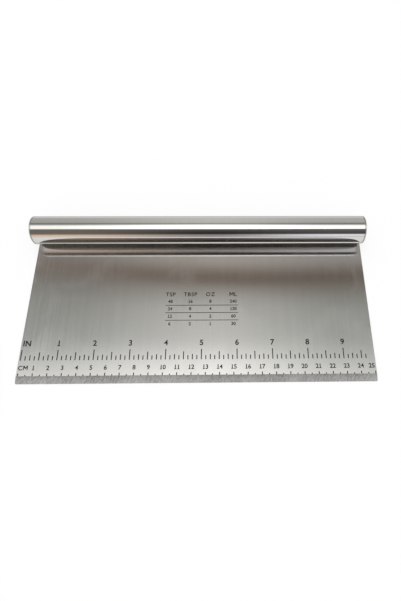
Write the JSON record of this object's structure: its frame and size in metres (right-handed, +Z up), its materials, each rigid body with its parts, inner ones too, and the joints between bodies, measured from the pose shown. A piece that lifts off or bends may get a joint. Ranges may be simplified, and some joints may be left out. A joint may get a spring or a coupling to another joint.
{
  "type": "dough scraper",
  "caption": "All-steel bench scraper: a wide flat blade with a ground edge, whose top curls round the back of a round tube handle with capped ends, for cutting and lifting dough.",
  "frame": {"origin": "middle of the footprint, on the table that the scraper lies on face up", "axes": "+X along the handle to the right of someone facing the working edge, +Y from the working edge to the handle, +Z up"},
  "size_m": [0.252, 0.1266, 0.0222],
  "materials": {
    "blade_steel": "brushed across the blade, coarser grind on the edge bevel",
    "handle_steel": "polished, with fine marks round the tube",
    "cap_steel": "polished",
    "scale_marks": "matt dark etched marks"
  },
  "bodies": {
    "root": {"blade": "blade_steel", "handle_tube": "handle_steel", "left_end_cap": "cap_steel", "right_end_cap": "cap_steel"}
  },
  "joints": []
}
